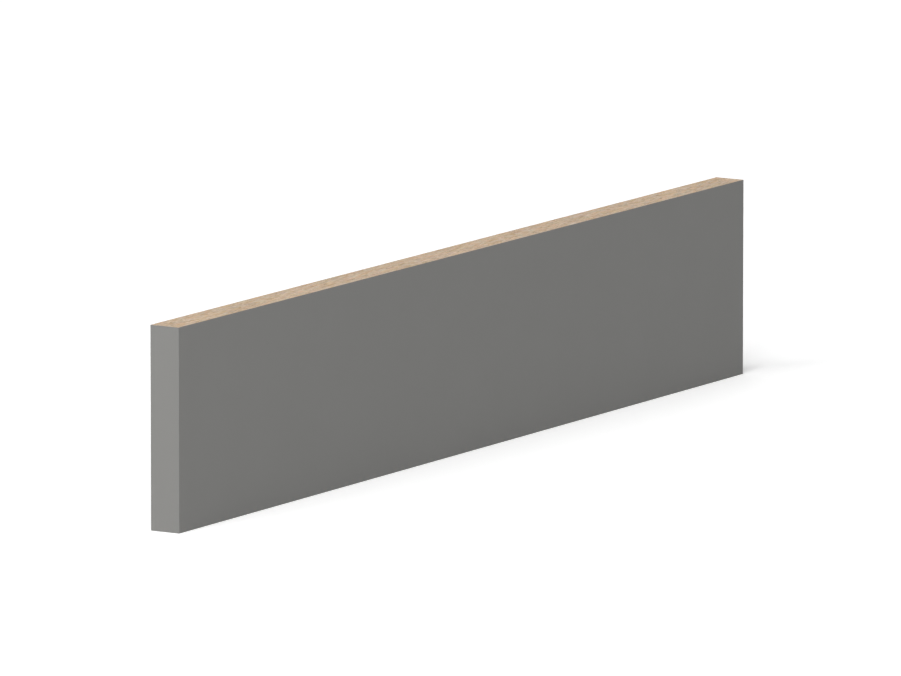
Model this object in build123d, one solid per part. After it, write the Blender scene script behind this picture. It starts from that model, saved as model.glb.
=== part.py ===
from build123d import *
import os

# Plinth board: a straight board that stands on its long narrow edge and closes the gap
# between a cabinet and the floor. X runs along its length, Z is up, and the show face
# looks towards -Y. The origin is the middle of the floor edge. All sizes are in millimetres.

# Driving dimensions
length = 600.0
height = 112.0
thickness = 18.0
coated_edge_radius = 0.3


def plinth_board():
    """The board, coated on its faces, ends and floor edge, and sawn bare along the top."""
    with BuildPart() as board:
        # The section stands on the floor at the left end and runs the whole length.
        with BuildSketch(Plane.YZ.offset(-length / 2)):
            Rectangle(thickness, height, align=(Align.CENTER, Align.MIN))
        extrude(amount=length)

        # The saw leaves the top edge square and crisp. Every other edge is eased a little,
        # as a coat needs, so the rounded corners of both ends run out through the top.
        sawn_edge = board.faces().sort_by(Axis.Z)[-1]
        crisp_edges = sawn_edge.edges()
        coated_edges = [edge for edge in board.edges() if edge not in crisp_edges]
        fillet(coated_edges, radius=coated_edge_radius)
    return board.part


os.makedirs("parts", exist_ok=True)
export_step(plinth_board(), "parts/plinth_board.step")
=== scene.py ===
import bpy
import math
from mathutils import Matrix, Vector


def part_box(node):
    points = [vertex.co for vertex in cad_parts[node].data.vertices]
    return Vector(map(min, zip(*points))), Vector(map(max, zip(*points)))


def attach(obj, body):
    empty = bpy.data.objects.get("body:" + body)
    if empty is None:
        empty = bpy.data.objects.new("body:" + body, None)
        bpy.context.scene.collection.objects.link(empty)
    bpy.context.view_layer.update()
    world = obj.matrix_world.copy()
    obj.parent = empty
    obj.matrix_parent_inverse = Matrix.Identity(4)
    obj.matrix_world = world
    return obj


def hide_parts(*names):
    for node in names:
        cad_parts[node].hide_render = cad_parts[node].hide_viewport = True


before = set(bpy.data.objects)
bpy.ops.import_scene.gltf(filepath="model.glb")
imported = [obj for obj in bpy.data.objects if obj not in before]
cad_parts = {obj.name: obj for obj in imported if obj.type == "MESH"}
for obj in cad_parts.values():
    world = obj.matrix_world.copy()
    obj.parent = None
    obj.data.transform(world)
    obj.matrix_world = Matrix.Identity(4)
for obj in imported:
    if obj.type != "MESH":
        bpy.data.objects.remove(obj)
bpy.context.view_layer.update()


# The board: one straight length of chipboard that stands on its long narrow edge. It is sawn
# square from a coated sheet, and every edge between two coated faces is eased a little. Only
# the top edge is left as the saw cut it, so the chips and the edge of the coat show there.
board_low, board_high = (Vector(corner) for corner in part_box("plinth_board"))
board_middle = (board_low + board_high) / 2
length, thickness, height = board_high - board_low
half_length, half_thickness = length / 2, thickness / 2
eased_radius, eased_steps = 0.0003, 4
coat_thickness = 0.0001

# Places that differ by less than this are taken as the same.
hair = 0.00001


def pick(kind, wanted):
    """Selects the board's vertices, edges or faces that pass the test, ready for an edit-mode tool."""
    bpy.ops.object.mode_set(mode="EDIT")
    bpy.ops.mesh.select_mode(type=kind)
    bpy.ops.mesh.select_all(action="DESELECT")
    bpy.ops.object.mode_set(mode="OBJECT")
    mesh = board.data
    parts = {"VERT": mesh.vertices, "EDGE": mesh.edges, "FACE": mesh.polygons}[kind]
    for part in parts:
        part.select = wanted(part)
    bpy.ops.object.mode_set(mode="EDIT")


def ends(edge):
    """The places of an edge's two ends."""
    return [board.data.vertices[index].co for index in edge.vertices]


def on_top(*points):
    """Whether every point lies on the sawn top."""
    return all(point.z > board_high.z - hair for point in points)


def runs_along(edge):
    """Whether an edge of the sawn top runs straight along the board."""
    start, end = ends(edge)
    return on_top(start, end) and abs(end.y - start.y) < hair


def runs_across(edge):
    """Whether an edge of the sawn top crosses the board from coat to coat."""
    start, end = ends(edge)
    return on_top(start, end) and abs(end.y - start.y) > half_thickness


def in_the_core(point):
    """Whether a point of the sawn top lies inside the ring that the coat's own edge makes."""
    room_along = half_length - coat_thickness - hair
    room_across = half_thickness - coat_thickness - hair
    return on_top(point) and abs(point.x) < room_along and abs(point.y) < room_across


bpy.ops.object.select_all(action="DESELECT")
bpy.ops.mesh.primitive_cube_add(size=1, location=board_middle, scale=(length, thickness, height))
board = bpy.context.object
board.name = "board"
bpy.ops.object.transform_apply(location=True, rotation=True, scale=True)

# The sawn top: a thin ring of coat round the chips, which are cut into half-millimetre squares.
# One round makes 100 cuts at most, so the length is first cut in 12 and then each part in 100.
pick("FACE", lambda face: on_top(face.center))
bpy.ops.mesh.inset(thickness=coat_thickness)
cuts_along, cuts_across = (11, 99), 35
for cuts in cuts_along:
    pick("EDGE", runs_along)
    bpy.ops.mesh.subdivide(number_cuts=cuts)
pick("EDGE", runs_across)
bpy.ops.mesh.subdivide(number_cuts=cuts_across)

# The coated edges are eased: both ends' upright edges and the four edges round the floor edge.
pick("EDGE", lambda edge: not on_top(*ends(edge)))
bpy.ops.mesh.bevel(offset=eased_radius, segments=eased_steps)

# The core of the sawn top is marked, so that only the chips get the relief.
board.vertex_groups.new(name="core")
pick("VERT", lambda vertex: in_the_core(vertex.co))
bpy.ops.object.vertex_group_assign()
bpy.ops.object.mode_set(mode="OBJECT")


class Wire:
    """One output of a node. Arithmetic on it adds Math nodes, and node() adds any other kind."""

    def __init__(self, tree, socket=None):
        self.tree = tree
        self.socket = socket

    def node(self, kind, output, settings=None, inputs=None):
        """Adds a node, sets it up, gives its inputs their values or links, and returns one output."""
        made = self.tree.nodes.new(kind)
        for name, value in (settings or {}).items():
            if name == "stops":
                stops = made.color_ramp.elements
                while len(stops) < len(value):
                    stops.new(1)
                for stop, (place, colour) in zip(stops, value):
                    stop.position = place
                    stop.color = (*colour, 1)
            else:
                setattr(made, name, value)
        for name, value in (inputs or {}).items():
            if isinstance(value, Wire):
                self.tree.links.new(value.socket, made.inputs[name])
            else:
                made.inputs[name].default_value = value
        return Wire(self.tree, made.outputs[output])

    def maths(self, operation, first, second):
        return self.node("ShaderNodeMath", 0, {"operation": operation}, {0: first, 1: second})

    def __add__(self, other):
        return self.maths("ADD", self, other)

    def __radd__(self, other):
        return self.maths("ADD", other, self)

    def __sub__(self, other):
        return self.maths("SUBTRACT", self, other)

    def __rsub__(self, other):
        return self.maths("SUBTRACT", other, self)

    def __mul__(self, other):
        return self.maths("MULTIPLY", self, other)

    def __rmul__(self, other):
        return self.maths("MULTIPLY", other, self)

    def __abs__(self):
        return self.maths("ABSOLUTE", self, 0)

    def __gt__(self, other):
        return self.maths("GREATER_THAN", self, other)

    def noise(self, scale, detail):
        """Smooth noise about 0.5 at a place."""
        return self.node("ShaderNodeTexNoise", 0, {}, {"Vector": self, "Scale": scale, "Detail": detail})

    def swing(self, share):
        """Noise brought down to swing about 0, by half the share each way at most."""
        return (self - 0.5) * share

    def rise(self, low, high):
        """0 up to the low value, 1 from the high value on, and a straight rise between them."""
        limits = {"Value": self, "From Min": low, "From Max": high}
        return self.node("ShaderNodeMapRange", 0, {}, limits)

    def each(self, operation, other):
        """Vector Math on the three parts of a place or a colour."""
        return self.node("ShaderNodeVectorMath", 0, {"operation": operation}, {0: self, 1: other})

    def scale(self, colour):
        """A colour scaled by this wire's value."""
        return self.node("ShaderNodeVectorMath", 0, {"operation": "SCALE"}, {0: colour, "Scale": self})

    def part(self, axis):
        """The X, Y or Z part of a place, or of a colour's three values."""
        return self.node("ShaderNodeSeparateXYZ", axis, {}, {0: self})

    def also(self, output):
        """Another output of the same node."""
        return Wire(self.tree, self.socket.node.outputs[output])

    def feeds(self, socket):
        self.tree.links.new(self.socket, socket)


# The sawn top shows flat chips that lie along the board, each broken into splinters, with fine
# dust-like chips towards both faces and a few pits where splinters have torn out. The relief and
# the colours both come from this one layout.
chip_size = (0.0052, 0.0013, 1)
splinter_size = (0.0031, 0.00036, 1)
fine_size = (0.0011, 0.00024, 1)
loose_size = (0.0030, 0.0010, 1)
bend = (0.0018, 0.0010, 0)
bend_scale = 130
all_coarse, all_fine = 0.62 * half_thickness, 0.93 * half_thickness
firm_up_to, loose_from = 0.53, 0.58
kept_up_to, missing_from = 0.91, 0.94


def lay_chips(place):
    """Lays the chips out in the plane of the saw cut. Gives the bent place that they follow, three
    random values for each chip, the tone of each splinter or fine chip, and the pits."""
    flat_noise, flat_cells = {"noise_dimensions": "2D"}, {"voronoi_dimensions": "2D"}
    waves = {"Vector": place, "Scale": bend_scale, "Detail": 3}
    drift = place.node("ShaderNodeTexNoise", "Color", flat_noise, waves)
    bent = drift.each("MULTIPLY", bend).each("ADD", place)

    def cells(place, size):
        """Three random values for each cell of the broken pattern at a place, and the cell's middle."""
        laid = {"Vector": place.each("DIVIDE", size), "Scale": 1}
        values = place.node("ShaderNodeTexVoronoi", "Color", flat_cells, laid)
        return values, values.also("Position").each("MULTIPLY", size)

    # Each splinter belongs to the chip that its middle lies in, so the chips end in ragged edges.
    splinter, splinter_middle = cells(bent, splinter_size)
    chip, _ = cells(splinter_middle, chip_size)
    fine_chip, fine_middle = cells(bent, fine_size)
    near_a_face = abs(fine_middle.part("Y") - board_middle.y).rise(all_coarse, all_fine)
    fine = near_a_face > fine_chip.part("Y")
    tone = splinter.part("X") * (1 - fine) + fine_chip.part("X") * fine

    # Some splinters are missing where the board is loosely pressed, and that leaves a pit.
    spread = {"Vector": bent.each("DIVIDE", loose_size), "Scale": 1, "Detail": 2}
    loose = place.node("ShaderNodeTexNoise", 0, flat_noise, spread).rise(firm_up_to, loose_from)
    pit = loose * splinter.part("Y").rise(kept_up_to, missing_from) * (1 - fine)
    return bent, chip, tone, pit


# The chips sink by the same random value that sets their tone, the darker a little deeper, and the pits
# deeper still.
chip_level = 0.00008
pit_depth = 0.00010
grit_depth, grit_scale = 0.00003, 900
torn_top = bpy.data.node_groups.new("torn_top", "GeometryNodeTree")
torn_top.interface.new_socket("Board", in_out="INPUT", socket_type="NodeSocketGeometry")
torn_top.interface.new_socket("Board", in_out="OUTPUT", socket_type="NodeSocketGeometry")
whole_board = Wire(torn_top).node("NodeGroupInput", 0)
place = whole_board.node("GeometryNodeInputPosition", 0)
core = whole_board.node("GeometryNodeInputNamedAttribute", 0, {"data_type": "FLOAT"}, {"Name": "core"})
_, chip, _, pit = lay_chips(place)
grit = place.noise(grit_scale, detail=1)
depth = (1 - chip.part("X")) * chip_level + pit * pit_depth + grit * grit_depth
down = place.node("ShaderNodeCombineXYZ", 0, {}, {"Z": 0 - depth * core})
lowered = whole_board.node("GeometryNodeSetPosition", 0, {}, {"Geometry": whole_board, "Offset": down})
lowered.feeds(torn_top.nodes.new("NodeGroupOutput").inputs[0])
saw_marks = board.modifiers.new("saw_marks", "NODES")
saw_marks.node_group = torn_top
bpy.ops.object.modifier_apply(modifier="saw_marks")


def new_finish(name, roughness, shine):
    """A plain finish, its shader, and a wire to build its pattern on."""
    finish = bpy.data.materials.new(name)
    finish.use_nodes = True
    shader = finish.node_tree.nodes["Principled BSDF"]
    shader.inputs["Roughness"].default_value = roughness
    shader.inputs["Specular IOR Level"].default_value = shine
    return finish, shader, Wire(finish.node_tree)


def askew(place):
    """The same place turned, so that a very fine pattern doesn't line up with the board."""
    return place.node("ShaderNodeMapping", 0, {}, {"Vector": place, "Rotation": (0.5, 0.6, 0.7)})


def emboss(shader, pattern, strength, depth):
    """Gives a finish fine bumps that follow a pattern."""
    bumps = {"Height": pattern, "Strength": strength, "Distance": depth}
    pattern.node("ShaderNodeBump", 0, {}, bumps).feeds(shader.inputs["Normal"])


def grey_coat():
    """The matte grey coat: even in colour, with the pearly texture of the plate it was pressed
    against, which is too fine to see from a step away."""
    coat_colour = (0.1557, 0.1548, 0.1482)
    coat_roughness = 0.55
    cloud_scale, cloud_tint, cloud_dulling = 30, 0.02, 0.10
    pearl_scale, pearl_tint, pearl_dulling = 1400, 0.03, 0.15
    finish, shader, start = new_finish("grey_coat", coat_roughness, shine=0.35)
    place = start.node("ShaderNodeTexCoord", "Object")
    cloud = place.noise(cloud_scale, detail=2)
    pearl = askew(place).noise(pearl_scale, detail=2)
    tone = 1 + cloud.swing(cloud_tint) + pearl.swing(pearl_tint)
    tone.scale(coat_colour).feeds(shader.inputs["Base Color"])
    dullness = coat_roughness + cloud.swing(cloud_dulling) + pearl.swing(pearl_dulling)
    dullness.feeds(shader.inputs["Roughness"])
    emboss(shader, pearl, strength=0.25, depth=0.00004)
    return finish


def bare_chipboard():
    """The sawn core: softwood chips from tan to cream, with a few flecks of bark, and pits darkened with
    painted shade.
    """
    finish, shader, start = new_finish("bare_chipboard", roughness=0.85, shine=0.2)
    place = start.node("ShaderNodeTexCoord", "Object")
    bent, chip, tone, pit = lay_chips(place)

    bark = (0.312, 0.206, 0.133)
    tan = (0.459, 0.329, 0.223)
    biscuit = (0.586, 0.444, 0.313)
    cream = (0.739, 0.593, 0.455)
    stops = [(0.12, bark), (0.19, tan), (0.50, biscuit), (0.88, cream)]
    # The darker chips' colour is partly their own tone and partly painted shade for their depth.
    by_chip_tone_and_depth_shade, by_splinter, darkest = 0.25, 0.55, 0.10
    bark_to_cream = chip.part("X") * by_chip_tone_and_depth_shade + tone * by_splinter + darkest
    wood = start.node("ShaderNodeValToRGB", "Color", {"stops": stops}, {"Fac": bark_to_cream})

    def mixed(share, colour, other_colour):
        """Mixes two colours, which a Mix node takes at its inputs 6 and 7 and gives at its output 2."""
        return start.node("ShaderNodeMix", 2, {"data_type": "RGBA"}, {0: share, 6: colour, 7: other_colour})

    # The darker chips tend to orange and the paler ones to grey, and some are pinker than others.
    orange, grey = (1.08, 0.98, 0.85, 1), (0.92, 1.016, 1.14, 1)
    pink, straw = (1.018, 0.979, 1.029, 1), (0.982, 1.021, 0.971, 1)
    by_chance, by_paleness = 0.7, 0.3
    orange_to_grey = chip.part("Y") * by_chance + bark_to_cream * by_paleness
    wood = wood.each("MULTIPLY", mixed(orange_to_grey, orange, grey))
    wood = wood.each("MULTIPLY", mixed(chip.part("Z"), pink, straw))

    # Fibres run the length of each chip, the saw leaves dust, and some stretches are paler.
    fibres_to_the_metre = (400, 6000, 0)
    dust_scale, stretch_scale = 4000, 20
    fibre_tint, dust_tint, stretch_tint = 0.45, 0.30, 0.24
    fibre = bent.each("MULTIPLY", fibres_to_the_metre).noise(1, detail=3)
    dust = askew(place).noise(dust_scale, detail=3)
    stretch = place.noise(stretch_scale, detail=1)
    paleness = (1 + fibre.swing(fibre_tint)) * (1 + dust.swing(dust_tint))
    paleness = paleness * (1 + stretch.swing(stretch_tint))
    # The pits are painted dark: painted shade in the holes that torn-out splinters leave.
    pit_shade_colour = (0.13, 0.08, 0.05, 1)
    pit_shade_share = 0.55
    mixed(pit * pit_shade_share, paleness.scale(wood), pit_shade_colour).feeds(shader.inputs["Base Color"])

    fibre_height, splinter_height = 0.5, 0.5
    surface = fibre * fibre_height + tone * splinter_height - pit
    emboss(shader, surface, strength=0.7, depth=0.00008)
    return finish


def shows_chips(face):
    """Whether a face is part of the core of the sawn top, however deep its relief has sunk it."""
    above = Vector((face.center.x, face.center.y, board_high.z))
    return in_the_core(above) and face.center.z > board_middle.z and face.normal.z > 0


def is_broad(face):
    """Whether a face is coated and square to the board, not part of an eased edge."""
    square_enough = 0.9999
    return max(abs(part) for part in face.normal) > square_enough and face.material_index == 0


for finish in (grey_coat(), bare_chipboard()):
    board.data.materials.append(finish)
pick("FACE", shows_chips)
board.active_material_index = 1
bpy.ops.object.material_slot_assign()
bpy.ops.object.mode_set(mode="OBJECT")

# The eased edges and the torn core are shaded smooth, and the broad faces stay flat.
bpy.ops.object.select_all(action="DESELECT")
board.select_set(True)
bpy.ops.object.shade_smooth_by_angle(angle=math.radians(60))
pick("FACE", is_broad)
bpy.ops.mesh.faces_shade_flat()
bpy.ops.object.mode_set(mode="OBJECT")

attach(board, "root")
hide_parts("plinth_board")


# The floor: a plain pale sheet, wide enough to fill the picture from every side. It is lit a
# little from below as well, like a table for product pictures, so the board's shadow stays faint.
floor_width = 60
floor_colour = (0.93, 0.93, 0.93, 1)
floor_glow = 0.274
white = (1, 1, 1, 1)
bpy.ops.object.select_all(action="DESELECT")
bpy.ops.mesh.primitive_plane_add(size=floor_width, location=(0, 0, board_low.z))
floor = bpy.context.object
floor.name = "floor"
floor_finish, floor_shader, _ = new_finish("pale_floor", roughness=0.9, shine=0)
floor_shader.inputs["Base Color"].default_value = floor_colour
floor_shader.inputs["Emission Color"].default_value = white
floor_shader.inputs["Emission Strength"].default_value = floor_glow
floor.data.materials.append(floor_finish)


# The light: soft and white from all round, as in a studio tent. A very broad light, high on the
# near end's side, makes that end the brightest of the coated faces, as it is in the photo.
sky_strength = 0.127
sky = bpy.data.worlds.new("sky")
bpy.context.scene.world = sky
sky.use_nodes = True
sky_light = sky.node_tree.nodes["Background"]
sky_light.inputs["Color"].default_value = white
sky_light.inputs["Strength"].default_value = sky_strength


def add_broad_light(name, comes_from, strength):
    """A light so broad and far that it is even over the whole board."""
    turned = Vector(comes_from).to_track_quat("Z", "Y").to_euler()
    bpy.ops.object.light_add(type="SUN", rotation=turned)
    light = bpy.context.object
    light.name = name
    light.data.angle = math.radians(60)
    light.data.energy = strength


add_broad_light("high_light", comes_from=(-1.2, -0.2, 1), strength=3.12)

# A fainter broad light from behind thins the shadow that the board casts past its far end.
add_broad_light("back_light", comes_from=(0.9, 0.9, 0.6), strength=0.6)

# A small soft light stands nearby in front, so that its light fades along the show face.
front_light_place = Vector((-1.6, -0.9, 0.9))
front_light_width, front_light_height = 1.0, 0.8
front_light_power = 9.54
towards_board = (board_middle - front_light_place).to_track_quat("-Z", "Y").to_euler()
bpy.ops.object.light_add(type="AREA", location=front_light_place, rotation=towards_board)
front_light = bpy.context.object
front_light.name = "front_light"
front_light.data.shape = "RECTANGLE"
front_light.data.size = front_light_width
front_light.data.size_y = front_light_height
front_light.data.energy = front_light_power
front_light.visible_camera = False


# The camera: far away with a long lens, as the photo's lines are almost parallel, and looking
# down a little on the board from the side of its near end.
azimuth, elevation = math.radians(-58.66), math.radians(9.483)
distance, furthest_seen = 8.344, 100
lens, film_width = 603.47, 36
aim_right, aim_up = -0.00292, 0.006721
level = math.cos(elevation)
away = Vector((math.sin(azimuth) * level, -math.cos(azimuth) * level, math.sin(elevation)))
right = Vector((math.cos(azimuth), math.sin(azimuth), 0))
aim = board_middle + right * aim_right + away.cross(right) * aim_up
towards_aim = away.to_track_quat("Z", "Y").to_euler()
bpy.ops.object.camera_add(location=aim + away * distance, rotation=towards_aim)
camera = bpy.context.object
camera.data.sensor_width = film_width
camera.data.lens = lens
camera.data.clip_end = furthest_seen
bpy.context.scene.camera = camera
bpy.context.scene.view_settings.view_transform = "Standard"
